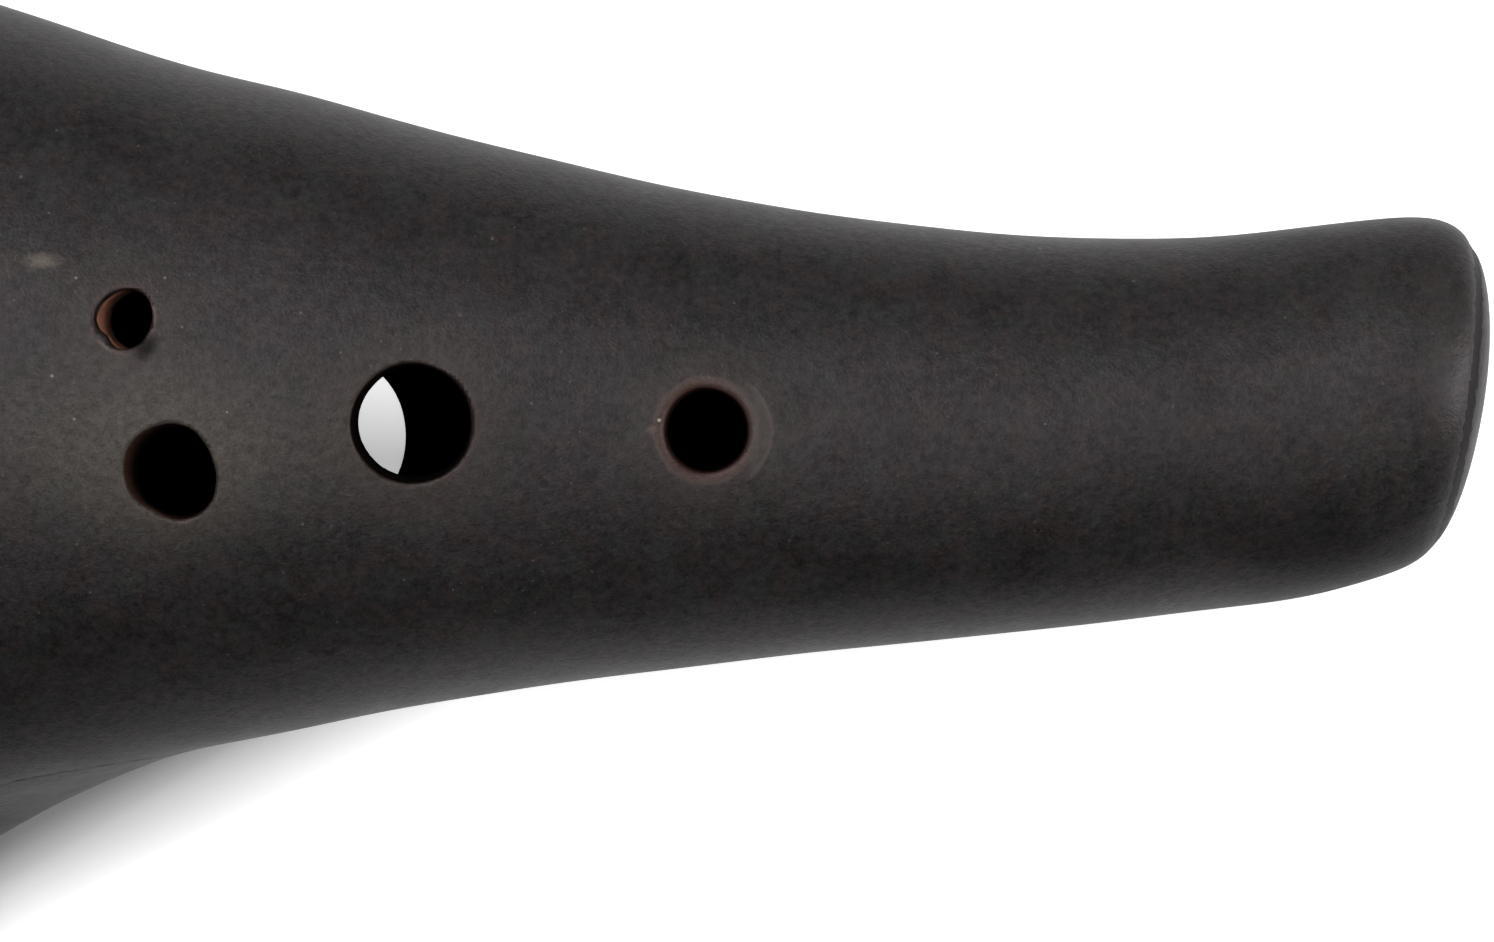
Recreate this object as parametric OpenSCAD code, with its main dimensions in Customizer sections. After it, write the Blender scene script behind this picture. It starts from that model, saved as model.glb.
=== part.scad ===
// Twelve-hole transverse ocarina in smoke-blackened earthenware.
// Lies with the finger holes up (+Z) on a small flat ground on its belly, at z = 0.
// +X runs toward the tail, the mouthpiece points along -Y, units are millimetres.
// The origin lies in the flat ground.

/* [Body] */
// thickness of the clay wall of the chamber
wall_t = 5; // [4:0.5:6]
// height of the mould plane where the two shells meet
mould_z = 22; // [22:0.25:22.5]
// thickness of the slip layer that lutes two pieces together
slip_t = 0.5; // [0.3:0.1:0.6]
// station along the body where the tail plug starts
plug_s = 121.3; // [120.8:0.1:122]
// how far the tail plug's spigot reaches into the chamber
spigot_len = 2.6; // [1.5:0.1:4]
// clearance between the spigot and the mouth of the chamber
spigot_gap = 0.3; // [0.2:0.1:0.5]

/* [Finger holes] */
// radius of the right index hole
right_index_r = 4.2; // [3.8:0.1:4.4]
// radius of the right middle hole
right_middle_r = 3.7; // [3.2:0.1:4.2]
// radius of the right ring hole
right_ring_r = 4.75; // [4:0.05:5.2]
// radius of the right little-finger hole
right_pinky_r = 3.4; // [2.8:0.1:3.8]
// radius of the left index hole
left_index_r = 4.4; // [3.8:0.1:4.8]
// radius of the left middle hole
left_middle_r = 4.0; // [3.4:0.1:4.4]
// radius of the left ring hole
left_ring_r = 3.6; // [3:0.1:4]
// radius of the left little-finger hole
left_pinky_r = 2.8; // [2.2:0.1:3.2]
// radius of the two small sub-holes beside the middle fingers
sub_hole_r = 2.1; // [1.6:0.05:2.4]

/* [Thumb holes] */
// radius of the right thumb hole in the belly
right_thumb_r = 7.4; // [6:0.1:7.6]
// radius of the left thumb hole in the belly
left_thumb_r = 6.2; // [5:0.1:6.4]

/* [Voice] */
// width of the windway channel
windway_w = 13; // [11:0.5:13.5]
// height of the windway where it meets the window
windway_h = 1.5; // [1.2:0.1:1.7]
// height of the windway at the lips
lip_h = 3; // [2.4:0.1:3.2]
// underside of the windway roof above the table
roof_z = 6.4; // [6.2:0.1:6.5]
// width of the voicing window and of the labium
window_w = 14; // [13.5:0.5:15]
// distance from windway exit to labium edge
cut_up = 5.5; // [4.5:0.1:6]

/* [Fineness] */
// rings along the straight part of the body
mid_rings = 28; // [20:1:30]
// facets around half of a section
half_facets = 26; // [18:2:28]

/* [Hidden] */
$fn = 64;
clay = [0.16, 0.15, 0.15];
dark_clay = [0.15, 0.14, 0.14];
plug_clay = [0.17, 0.16, 0.16];
slip = [0.22, 0.19, 0.17];

// A station is a place along x. Pieces are drawn in body coordinates,
// and at_land() moves this place to the origin.
land_x = -14;
land_y = 1.2;

head_end = -92;       // extreme end of the head
head_round = -60;     // where the head starts to round off
tail_end = 124.2;     // extreme end of the tail
tail_round = 109.1;   // where the tail starts to round off
straight_end = 108;   // end of the evenly spaced rings, start of the inner taper
taper_len = 18;       // length over which the chamber narrows by taper
taper = 0.4;
lean_start = 100;     // where the sections start to lean
lean_len = 22;
lean_end = 0.125;     // how far the tail's end face leans
head_rings = 9;
tail_rings = 9;
turned_facets = 40;
lofted_facets = 36;

voice_x = -28;        // centre line of mouthpiece, window and labium
lip_y = -74;          // inner end of the windway's level part
exit_y = -27;         // windway exit
edge_y = exit_y + cut_up;   // labium edge
ramp_y = -11;         // foot of the labium ramp
pocket_y = -48;       // start of the pocket for the tenon
tenon_w = 18;         // width of the windway roof's tenon
tenon_top = 12.5;
window_top = 13;
edge_z = roof_z - windway_h/2 - 0.05;
floor_top = roof_z - slip_t + 0.1;   // top of the mouthpiece floor
below = -2;           // cuts start under the whole mouthpiece
above = 40;           // cuts end over the whole mouthpiece

// station, centre line, half width, height over and depth under the mould plane
body_table = [
  [-92, 2, 27, 20, 18.6],
  [-72, 1.7, 31.8, 22.8, 20.5],
  [-50, 1.4, 36, 24.3, 21.7],
  [-28, 1.3, 37.6, 24.8, 23.1],
  [-14, 1.32, 37.1, 24.3, 23.5],
  [-1.5, 1.2, 33.4, 23.1, 23.2],
  [15.5, 0.23, 28.79, 21, 21.8],
  [24, 0.12, 27.09, 19.9, 20.5],
  [32.5, -0.24, 24.88, 18.9, 19.2],
  [49.5, -1.01, 21.58, 16.9, 16.5],
  [66.5, -1.7, 18.81, 15.2, 14.4],
  [83.5, -1.93, 17, 13.9, 12.9],
  [100.5, -0.99, 15.84, 13.1, 12],
  [112, 0.37, 15.74, 12.9, 11.8],
  [126, 3.24, 14.69, 12.8, 11.7]];

// mouthpiece: y, half width, underside, top
block_table = [
  [-76, 11.5, 1.8, 10.2],
  [-60, 13.0, 1.6, 12.2],
  [-45, 15.0, 1.6, 15.0],
  [-32, 17.0, 1.6, 17.5],
  [-18, 17.0, 1.6, 18.0]];

// root fairing: y, half width, underside, top
flare_table = [
  [-56, 14.3, 1.1, 13.6],
  [-50, 16.0, 1.0, 15.8],
  [-45, 18.2, 1.0, 17.8],
  [-41, 20.0, 1.0, 19.6],
  [-38, 22.5, 1.0, 21.4],
  [-36, 26.4, 1.0, 22.8],
  [-34.3, 29.0, 1.2, 24.2],
  [-33.2, 31.6, 1.4, 25.2],
  [-31.8, 34.2, 1.8, 26.4],
  [-30, 37.9, 2.6, 27.6],
  [-27, 43.5, 4.5, 28.5],
  [-22, 42.0, 8.0, 28.5]];

// cheeks beside the window, under the belly: y, half width, underside, top
chin_table = [
  [-42, 20.0, 1.0, 12.0],
  [-34, 21.0, 1.0, 12.0],
  [-27, 20.0, 1.0, 12.0],
  [-21, 17.0, 1.0, 11.0],
  [-16, 12.5, 1.0, 9.0]];

// holes through the upper shell: x, y, radius
top_holes = [
  [58.8, -1.7, right_pinky_r], [35.2, -1.25, right_ring_r],
  [15.85, -5.15, right_middle_r], [-4.4, -5.5, right_index_r],
  [-37, 3, left_index_r], [-54, 6, left_middle_r],
  [-70, 2, left_ring_r], [-79, -10, left_pinky_r],
  [12.5, 7.05, sub_hole_r], [-51, 17.5, sub_hole_r]];
// holes through the belly: x, y, radius
thumb_holes = [[24.25, -1.95, right_thumb_r], [-53, 7, left_thumb_r]];

// ---- smooth reading of a table by cubic Hermite curves --------------------
function slope(table, i, j, column) =
  (table[j][column] - table[i][column])/(table[j][0] - table[i][0]);
function tangent(table, i, column) =
  slope(table, max(i-1, 0), min(i+1, len(table)-1), column);
function row_before(table, place) =
  max([for (i = [0:len(table)-2]) if (i == 0 || table[i][0] <= place) i]);
function read(table, place, column) =
  let (
    i = row_before(table, place),
    step = table[i+1][0] - table[i][0],
    part = (place - table[i][0])/step,
    square = pow(part, 2),
    cube = pow(part, 3))
  (2*cube - 3*square + 1)*table[i][column]
  + (cube - 2*square + part)*tangent(table, i, column)*step
  + (3*square - 2*cube)*table[i+1][column]
  + (cube - square)*tangent(table, i+1, column)*step;

// ---- the body as a surface -------------------------------------------------
function lean(station) =
  let (part = max(0, min(1, (station - lean_start)/lean_len)))
  lean_end*pow(part, 2)*(3 - 2*part);
function rounding(part, power) = sqrt(max(0, 1 - pow(part, power)));
// scale of the outer section; the tail rounds off more squarely toward -Y
function close_out(station, angle) =
  station < head_round ? rounding((head_round-station)/(head_round-head_end), 2) :
  station > tail_round ?
    rounding((station-tail_round)/(tail_end-tail_round), 8 - 2.3*cos(angle)) : 1;
// scale of the chamber's section
function close_in(station) =
  station < head_round ?
    rounding((head_round-station)/(head_round-head_end-wall_t), 2) :
  station > straight_end ? 1 - taper*pow((station-straight_end)/taper_len, 2) : 1;

// a point of the inner or outer skin; half is 1 over the mould plane, -1 under it
function skin(station, angle, inside, half) =
  let (
    inset = inside ? wall_t : 0,
    scaling = inside ? close_in(station) : close_out(station, angle),
    across = (read(body_table, station, 2) - inset)*scaling*cos(angle),
    height = (read(body_table, station, half > 0 ? 3 : 4) - inset)*scaling)
  [station + across*lean(station),
   read(body_table, station, 1) + across,
   mould_z + half*(slip_t/2 + height*sin(angle))];

// stations of the rings, the first one is the pole of the head
function stations(inside) =
  let (head_len = head_round - head_end - (inside ? wall_t : 0))
  concat(
    [for (i = [0:head_rings-1]) head_round - head_len*cos(90*i/head_rings)],
    [for (i = [0:mid_rings-1]) head_round + (straight_end-head_round)*i/mid_rings],
    [for (i = [0:tail_rings]) straight_end + (plug_s-straight_end)*i/tail_rings]);

// four corners as two triangles, or as one where the first two are the same pole
function quad(a, b, c, d) = a == b ? [[a, c, d]] : [[a, b, c], [a, c, d]];

// half a chamber: two skins, the mould-plane rim and the open end at the tail
module half_shell(half) {
  last = len(stations(false)) - 1;
  facets = half_facets;
  grid = function (places, inside) concat(
    [skin(places[0], 0, inside, half)],
    [for (i = [1:last]) for (j = [0:facets]) skin(places[i], 180*j/facets, inside, half)]);
  outer = function (i, j) i == 0 ? 0 : 1 + (i-1)*(facets+1) + j;
  inner = function (i, j) 1 + last*(facets+1) + outer(i, j);
  faces = concat(
    [for (i = [0:last-1]) for (j = [0:facets-1])
      each quad(outer(i,j), outer(i,j+1), outer(i+1,j+1), outer(i+1,j))],
    [for (i = [0:last-1]) for (j = [0:facets-1])
      each quad(inner(i,j+1), inner(i,j), inner(i+1,j), inner(i+1,j+1))],
    [for (i = [0:last-1])
      each quad(outer(i,0), outer(i+1,0), inner(i+1,0), inner(i,0))],
    [for (i = [0:last-1])
      each quad(outer(i,facets), inner(i,facets), inner(i+1,facets), outer(i+1,facets))],
    [for (j = [0:facets-1])
      each quad(outer(last,j), outer(last,j+1), inner(last,j+1), inner(last,j))]);
  polyhedron(
    points = concat(grid(stations(false), false), grid(stations(true), true)),
    faces = half < 0 ? faces : [for (face = faces) [face[0], face[2], face[1]]],
    convexity = 8);
}

// the outside of the chamber up to station 70, used to trim what sits against it
module body_solid() {
  places = [for (station = stations(false)) if (station < 70) station];
  last = len(places) - 1;
  facets = half_facets;
  count = 2*(facets+1);
  ring = function (station) concat(
    [for (j = [0:facets]) skin(station, 180*j/facets, false, 1)],
    [for (j = [0:facets]) skin(station, 180 - 180*j/facets, false, -1)]);
  id = function (i, j) 2 + (i-1)*count + (j % count);
  polyhedron(
    points = concat(
      [skin(places[0], 0, false, 1), skin(places[0], 0, false, -1)],
      [for (i = [1:last]) each ring(places[i])]),
    convexity = 4,
    faces = concat(
      [for (j = [0:facets-1]) [0, id(1,j), id(1,j+1)]],
      [for (j = [facets+1:count-2]) [1, id(1,j), id(1,j+1)]],
      [[0, id(1,facets+1), 1], [0, id(1,facets), id(1,facets+1)],
       [1, id(1,0), 0], [1, id(1,count-1), id(1,0)]],
      [for (i = [1:last-1]) for (j = [0:count-1])
        each quad(id(i,j), id(i+1,j), id(i+1,j+1), id(i,j+1))],
      [[for (j = [0:count-1]) id(last, count-1-j)]]));
}

// a solid of full rings between two poles; a ring is
// [station, half width, height over, depth under, closes toward the end with the skin]
module turned(rings) {
  count = len(rings);
  facets = turned_facets;
  point = function (ring, angle)
    let (
      scaling = ring[4] ? close_out(ring[0], angle) : 1,
      across = scaling*ring[1]*cos(angle))
    [ring[0] + across*lean(ring[0]),
     read(body_table, ring[0], 1) + across,
     mould_z + scaling*(sin(angle) >= 0 ? ring[2] : ring[3])*sin(angle)];
  pole = function (ring) point([ring[0], 0, 0, 0, false], 0);
  id = function (i, j) 2 + i*facets + (j % facets);
  polyhedron(
    points = concat(
      [pole(rings[0]), pole(rings[count-1])],
      [for (ring = rings) for (j = [0:facets-1]) point(ring, 360*j/facets)]),
    convexity = 4,
    faces = concat(
      [for (j = [0:facets-1]) [0, id(0,j), id(0,j+1)]],
      [for (i = [0:count-2]) for (j = [0:facets-1])
        each quad(id(i,j), id(i+1,j), id(i+1,j+1), id(i,j+1))],
      [for (j = [0:facets-1]) [1, id(count-1,j+1), id(count-1,j)]]));
}
function skin_ring(station) =
  [station, for (column = [2:4]) read(body_table, station, column), true];
// the mouth of the chamber, less a gap, placed at a station
function mouth_ring(station, gap) =
  [station,
   for (column = [2:4]) (read(body_table, plug_s, column) - wall_t)*close_in(plug_s) - gap,
   false];

// a solid lofted along y from a table [y, half width, underside, top],
// square-ish when power is over 2, rounded off over the length tip at its start
module lofted(table, power, tip, rings) {
  start = table[0][0];
  end = table[len(table)-1][0];
  facets = lofted_facets;
  tip_power = 2.6;
  tip_w = 0.3;   // share of the width that the tip keeps
  places = tip > 0 ?
    concat([for (i = [1:5]) start + tip*(1 - cos(18*i))],
           [for (i = [1:rings]) start + tip + (end-start-tip)*i/rings]) :
    [for (i = [0:rings]) start + (end-start)*i/rings];
  shrink = function (y) tip > 0 && y < start + tip ?
    pow(max(0.02, 1 - pow((start+tip-y)/tip, tip_power)), 1/tip_power) : 1;
  bulge = function (value) sign(value)*pow(abs(value), 2/power);
  point = function (y, angle)
    let (
      half_w = read(table, y, 1)*(tip_w + (1-tip_w)*shrink(y)),
      low = read(table, y, 2),
      high = read(table, y, 3))
    [voice_x + half_w*bulge(cos(angle)),
     y,
     (low+high)/2 + (high-low)/2*shrink(y)*bulge(sin(angle))];
  last = len(places) - 1;
  id = function (i, j) i*facets + (j % facets);
  polyhedron(
    points = [for (y = places) for (j = [0:facets-1]) point(y, 360*j/facets)],
    convexity = 4,
    faces = concat(
      [[for (j = [0:facets-1]) id(0, facets-1-j)]],
      [for (i = [0:last-1]) for (j = [0:facets-1])
        each quad(id(i,j), id(i,j+1), id(i+1,j+1), id(i+1,j))],
      [[for (j = [0:facets-1]) id(last, j)]]));
}

// ---- shared shapes ---------------------------------------------------------
module at_land() { translate([-land_x, -land_y, 0]) children(); }
module bores(holes, z) {
  for (hole = holes) translate([hole[0], hole[1], z]) cylinder(h = 30, r = hole[2]);
}
// a box from a [low, high] pair for each axis
module box(x, y, z) {
  translate([x[0], y[0], z[0]]) cube([x[1]-x[0], y[1]-y[0], z[1]-z[0]]);
}
module voice_box(width, y, z) { box([voice_x-width/2, voice_x+width/2], y, z); }
// everything of the mouthpiece between two heights
module layer(low, high) { box([-80, 30], [-90, 10], [low, high]); }
// a [y, z] outline drawn out across the voice
module voice_profile(width, outline) {
  translate([voice_x-width/2, 0, 0]) rotate([90, 0, 90]) linear_extrude(width)
    polygon(outline);
}
module pocket() { voice_box(tenon_w, [pocket_y, exit_y], [below, tenon_top]); }
module window() { voice_box(window_w, [exit_y-0.01, ramp_y], [below, window_top]); }
module windway() {
  start = -80;   // clear of the lips
  end = exit_y + 1;
  voice_profile(windway_w, [
    [start, roof_z-lip_h], [lip_y, roof_z-lip_h],
    [end, roof_z-windway_h], [end, roof_z], [start, roof_z]]);
}
module block() { lofted(block_table, power = 3.2, tip = 4, rings = 14); }
// what the mouthpiece may fill: outside the chamber, or in the pocket
module block_solid() {
  difference() {
    block();
    difference() {
      body_solid();
      pocket();
    }
    box([-80, 20], [exit_y, 0], [below, above]);
  }
}

// ---- the pieces ------------------------------------------------------------
// moulded upper half of the chamber with ten finger holes
module upper_shell() color(clay) at_land()
  difference() {
    half_shell(1);
    bores(top_holes, mould_z);
  }

// moulded lower half with two thumb holes, the window and the flat ground
module lower_shell() color(dark_clay) at_land()
  difference() {
    half_shell(-1);
    bores(thumb_holes, -5);
    pocket();
    window();
    box([-120, 120], [-60, 60], [-8, 0]);
  }

// slip that joins the two moulded halves
module body_seam() color(slip) at_land() {
  edge = function (inside, angle)
    [for (station = stations(inside))
      let (point = skin(station, angle, inside, 1)) [point[0], point[1]]];
  back = function (points) [for (i = [len(points)-1:-1:1]) points[i]];
  outline = function (inside) concat(back(edge(inside, 0)), edge(inside, 180));
  translate([0, 0, mould_z-slip_t/2]) linear_extrude(slip_t) difference() {
    polygon(outline(false));
    polygon(outline(true));
  }
}

// plug that closes the tail, with a spigot into the chamber
module tail_plug() color(plug_clay) at_land() {
  start = plug_s + slip_t;
  steps = 8;
  // the last ring stops just short of the end, where the section would vanish
  turned(concat(
    [mouth_ring(plug_s-spigot_len, spigot_gap), mouth_ring(start, spigot_gap)],
    [for (i = [0:steps])
      skin_ring(start + (tail_end-start)*(i == steps ? 0.997 : sin(90*i/steps)))]));
}

// slip ring between the tail plug and the shells
module tail_seam() color(slip) at_land()
  difference() {
    turned([skin_ring(plug_s), skin_ring(plug_s+slip_t)]);
    turned([mouth_ring(plug_s-1, 0), mouth_ring(plug_s+2, 0)]);
  }

// lower slab of the mouthpiece with the windway channel cut in it
module mouthpiece_floor() color(dark_clay) at_land()
  difference() {
    block_solid();
    windway();
    layer(floor_top, above);
  }

// upper slab of the mouthpiece, its tenon runs to the windway exit
module mouthpiece_roof() color(clay) at_land()
  difference() {
    block_solid();
    layer(below, roof_z);
  }

// slip along both sides of the windway
module windway_seam() color(slip) at_land()
  difference() {
    intersection() {
      block_solid();
      layer(floor_top, roof_z);
    }
    windway();
  }

// the sharp wedge that splits the air
module labium() color(dark_clay) at_land()
  voice_profile(window_w, [
    [edge_y, edge_z-0.1], [ramp_y, 0.15], [ramp_y, 5.0],
    [edge_y+4.5, 7.2], [edge_y, edge_z+0.15]]);

// clay worked around the mouthpiece root and beside the window
module root_fairing() color(clay) at_land()
  difference() {
    union() {
      lofted(flare_table, power = 2.1, tip = 0, rings = 18);
      lofted(chin_table, power = 2.6, tip = 0, rings = 12);
    }
    block();
    body_solid();
    window();
  }

upper_shell();
lower_shell();
body_seam();
tail_plug();
tail_seam();
mouthpiece_floor();
mouthpiece_roof();
windway_seam();
labium();
root_fairing();
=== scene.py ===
"""A smoke-blackened earthenware ocarina lying on a pale floor, its ten-hole face up.

Shapes are distance fields in body millimetres, negative inside the clay: x runs from the
head (-x) to the tail (+x), y across with the mouthpiece toward -y, z up from the floor.
Each field becomes one mesh, in metres, with the body point ORIGIN over the scene's origin.
"""

import math
from collections import namedtuple

import bpy
import numpy as np
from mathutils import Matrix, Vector


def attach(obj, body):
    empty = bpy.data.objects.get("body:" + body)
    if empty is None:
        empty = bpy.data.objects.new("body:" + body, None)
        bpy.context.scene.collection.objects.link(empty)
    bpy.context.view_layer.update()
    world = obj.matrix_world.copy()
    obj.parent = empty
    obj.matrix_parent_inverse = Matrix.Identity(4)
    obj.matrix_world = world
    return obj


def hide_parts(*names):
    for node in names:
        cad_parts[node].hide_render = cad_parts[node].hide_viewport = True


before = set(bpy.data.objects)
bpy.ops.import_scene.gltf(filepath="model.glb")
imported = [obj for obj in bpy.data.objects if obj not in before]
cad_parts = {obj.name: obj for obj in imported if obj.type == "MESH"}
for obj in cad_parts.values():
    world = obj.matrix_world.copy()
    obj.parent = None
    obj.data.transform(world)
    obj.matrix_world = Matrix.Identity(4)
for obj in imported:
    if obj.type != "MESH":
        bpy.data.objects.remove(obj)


def note_size():
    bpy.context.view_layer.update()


note_size()

# ---------------------------------------------------------------- dimensions, mm
ORIGIN = (-14.0, 1.2)
MID_Z = 22.0  # joint between the two shells
SLIP = 0.5  # thickness of a slip joint
WALL = 5.0
HEAD_START, HEAD_TIP = -60.0, -92.0  # stations between which the head closes
TAIL_START, TAIL_TIP = 109.1, 124.2
PLUG = 121.3  # station where the shells end and the tail plug's joint begins
MOUTH_X = -28.0  # centre line of the mouthpiece
EXIT_Y = -27.0  # end of the windway
EDGE_Y = -21.5  # sharp edge of the labium
RAMP_Y = -11.0  # inner end of the labium and of its window
ROOF_Z = 6.4  # top of the windway
WINDWAY_HALF = 6.5
WINDOW_HALF = 7.0

# station x, centre y, half width, height above MID_Z, depth below it
BODY = np.array([
    [-92, 2, 27, 20, 18.6], [-72, 1.7, 31.8, 22.8, 20.5], [-50, 1.4, 36, 24.3, 21.7],
    [-28, 1.3, 37.6, 24.8, 23.1], [-14, 1.32, 37.1, 24.3, 23.5], [-1.5, 1.2, 33.4, 23.1, 23.2],
    [15.5, 0.23, 28.79, 21, 21.8], [24, 0.12, 27.09, 19.9, 20.5], [32.5, -0.24, 24.88, 18.9, 19.2],
    [49.5, -1.01, 21.58, 16.9, 16.5], [66.5, -1.7, 18.81, 15.2, 14.4], [83.5, -1.93, 17, 13.9, 12.9],
    [100.5, -0.99, 15.84, 13.1, 12], [112, 0.37, 15.74, 12.9, 11.8], [126, 3.24, 14.69, 12.8, 11.7]])
# mouthpiece, its flare into the body and the swelling under that: y, half width, bottom z, top z
BLOCK = np.array([
    [-76, 11.5, 1.8, 10.2], [-60, 13.0, 1.6, 12.2], [-45, 15.0, 1.6, 15.0],
    [-32, 17.0, 1.6, 17.5], [-18, 17.0, 1.6, 18.0]])
FLARE = np.array([
    [-56, 14.3, 1.1, 13.6], [-50, 16.0, 1.0, 15.8], [-45, 18.2, 1.0, 17.8], [-41, 20.0, 1.0, 19.6],
    [-38, 22.5, 1.0, 21.4], [-36, 26.4, 1.0, 22.8], [-34.3, 29.0, 1.2, 24.2], [-33.2, 31.6, 1.4, 25.2],
    [-31.8, 34.2, 1.8, 26.4], [-30, 37.9, 2.6, 27.6], [-27, 43.5, 4.5, 28.5], [-22, 42.0, 8.0, 28.5]])
CHIN = np.array([
    [-42, 20.0, 1.0, 12.0], [-34, 21.0, 1.0, 12.0], [-27, 20.0, 1.0, 12.0],
    [-21, 17.0, 1.0, 11.0], [-16, 12.5, 1.0, 9.0]])
# hole outlines that are not quite round: angle in degrees, radius against the ellipse
NICKED = np.array([
    [-180, 1.03], [-158, 0.95], [-136, 0.80], [-123, 0.89], [-104, 1.0], [-84, 1.0], [-64, 0.98],
    [-28, 0.97], [18, 0.99], [46, 1.06], [73, 1.04], [95, 1.0], [126, 0.95], [155, 1.0], [180, 1.03]])
SKEWED = np.array([
    [-180, 1.0], [-162, 0.98], [-143, 0.945], [-117, 0.89], [-95, 0.96], [-77, 1.02], [-54, 1.075],
    [-32, 1.07], [-10, 1.01], [14, 0.965], [40, 0.975], [63, 1.01], [84, 1.005], [106, 1.003],
    [127, 1.014], [151, 1.018], [180, 1.0]])
# centre, half widths, rounding of the rim; drift and narrowing per mm of depth; z of the rim
# (0: straight hole); outline; how brown the rim is and how red the wall
Hole = namedtuple(
    "Hole", "x y half_x half_y rim drift_x drift_y narrowing top outline brown red",
    defaults=(0.0, 0.0, 0.0, 0.0, None, 0.1, 0.06))
TOP_HOLES = [
    Hole(58.72, -1.72, 3.24, 3.28, 0.75, 0.0, 0.0, 0.01, 38.4, brown=1.0, red=0.03),
    Hole(35.2, -1.25, 4.86, 4.86, 0.28, -0.036, 0.050, 0.072, 41.0, red=0.0),
    Hole(16.08, -5.08, 3.58, 3.78, 0.34, 0.05, 0.0, 0.06, 41.5, SKEWED, brown=0.25, red=0.13),
    Hole(-4.4, -5.5, 4.2, 4.25, 0.3, 0.0, 0.0, 0.08, 44.5),
    Hole(-37, 3, 4.4, 4.45, 0.3, 0.0, 0.0, 0.08, 46.5),
    Hole(-54, 6, 4.0, 4.05, 0.5, 0.0, 0.0, 0.06, 46, brown=0.8),
    Hole(-70, 2, 3.6, 3.65, 0.3, 0.0, 0.0, 0.08, 44),
    Hole(-79, -10, 2.8, 2.85, 0.3, 0.0, 0.0, 0.06, 40, SKEWED),
    Hole(12.46, 7.05, 2.20, 2.38, 0.24, 0.11, 0.03, 0.0, 42.8, NICKED, brown=0.3, red=0.95),
    Hole(-51, 17.5, 2.1, 2.25, 0.2, 0.0, 0.0, 0.06, 43, red=0.9)]
THUMB_HOLES = [Hole(24.25, -1.95, 7.4, 7.5, 0.5), Hole(-53, 7, 6.2, 6.3, 0.5)]


# ---------------------------------------------------------------- smooth tables
def hermite(table, column, at):
    """Cubic through one column of a table, straight beyond its ends."""
    x, v = table[:, 0], table[:, column]
    m = np.empty(len(x))
    m[1:-1] = (v[2:] - v[:-2]) / (x[2:] - x[:-2])
    m[0] = (v[1] - v[0]) / (x[1] - x[0])
    m[-1] = (v[-1] - v[-2]) / (x[-1] - x[-2])
    within = np.clip(at, x[0], x[-1])
    i = np.clip(np.searchsorted(x, within, side="right") - 1, 0, len(x) - 2)
    h = x[i + 1] - x[i]
    u = (within - x[i]) / h
    out = ((2 * u**3 - 3 * u**2 + 1) * v[i] + (u**3 - 2 * u**2 + u) * h * m[i]
           + (3 * u**2 - 2 * u**3) * v[i + 1] + (u**3 - u**2) * h * m[i + 1])
    before = np.where(at < x[0], (at - x[0]) * m[0], 0)
    return out + before + np.where(at > x[-1], (at - x[-1]) * m[-1], 0)


def smooth_table(table, low, high, sigma, step=0.2):
    """Positions from low to high and the table's columns there, blurred by a Gaussian."""
    at = np.arange(low, high, step)
    kernel = np.exp(-0.5 * (np.arange(-3 * sigma, 3 * sigma + step, step) / sigma) ** 2)
    kernel /= kernel.sum()
    pad = len(kernel) // 2
    wide = np.arange(low - pad * step, high + pad * step + step / 2, step)
    columns = []
    for column in range(1, table.shape[1]):
        blurred = np.convolve(hermite(table, column, wide), kernel, mode="same")
        columns.append(blurred[pad:pad + len(at)])
    return at, columns


def loft_profile(table):
    """First and last y, then the smoothed table."""
    return table[0, 0], table[-1, 0], *smooth_table(table, -84, -8, 1.2)


BODY_X, BODY_COLUMNS = smooth_table(BODY, -104, 136, 3.0)
BODY_SLOPES = [np.gradient(column, BODY_X) for column in BODY_COLUMNS]
BLOCK_PROFILE, FLARE_PROFILE, CHIN_PROFILE = map(loft_profile, (BLOCK, FLARE, CHIN))


# ---------------------------------------------------------------- shared fields
def round_max(a, b, radius):
    """Intersection with its edge rounded."""
    outside = np.hypot(np.maximum(a + radius, 0), np.maximum(b + radius, 0))
    return np.minimum(-radius, np.maximum(a, b)) + outside


def soft_min(a, b, width):
    """Union with a fillet."""
    h = np.clip(0.5 + 0.5 * (b - a) / width, 0, 1)
    return b + (a - b) * h - width * h * (1 - h)


def lean(s):
    """Slant of the cross sections toward the tail."""
    u = np.clip((s - 100) / 22, 0, 1)
    return np.where(s < 100, 0, 0.125 * u * u * (3 - 2 * u))


def station(x, y):
    """Station of a point along the body, and how far it is off the centre line."""
    s = x + 0 * y
    for _ in range(3):
        off = y - np.interp(s, BODY_X, BODY_COLUMNS[0])
        s = x - off * lean(s)
    return s, y - np.interp(s, BODY_X, BODY_COLUMNS[0])


def lumps(x, y, z):
    """The slight unevenness of a skin shaped by hand."""
    return (0.10 * np.sin(x / 11.3 + 0.7) * np.sin(y / 9.1 + 1.9 + x / 47) * np.sin(z / 10.7 + 0.4)
            + 0.06 * np.sin(x / 5.9 + y / 8.3 + 2.2) * np.cos(z / 6.1 + y / 7.7)
            + 0.035 * np.sin(x / 3.7 - y / 4.9 + 0.6) * np.sin(z / 4.3 + x / 9.7))


def bore_taper(s):
    return 1 - 0.4 * np.clip((s - 108) / 18, 0, 1.2) ** 2


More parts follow.
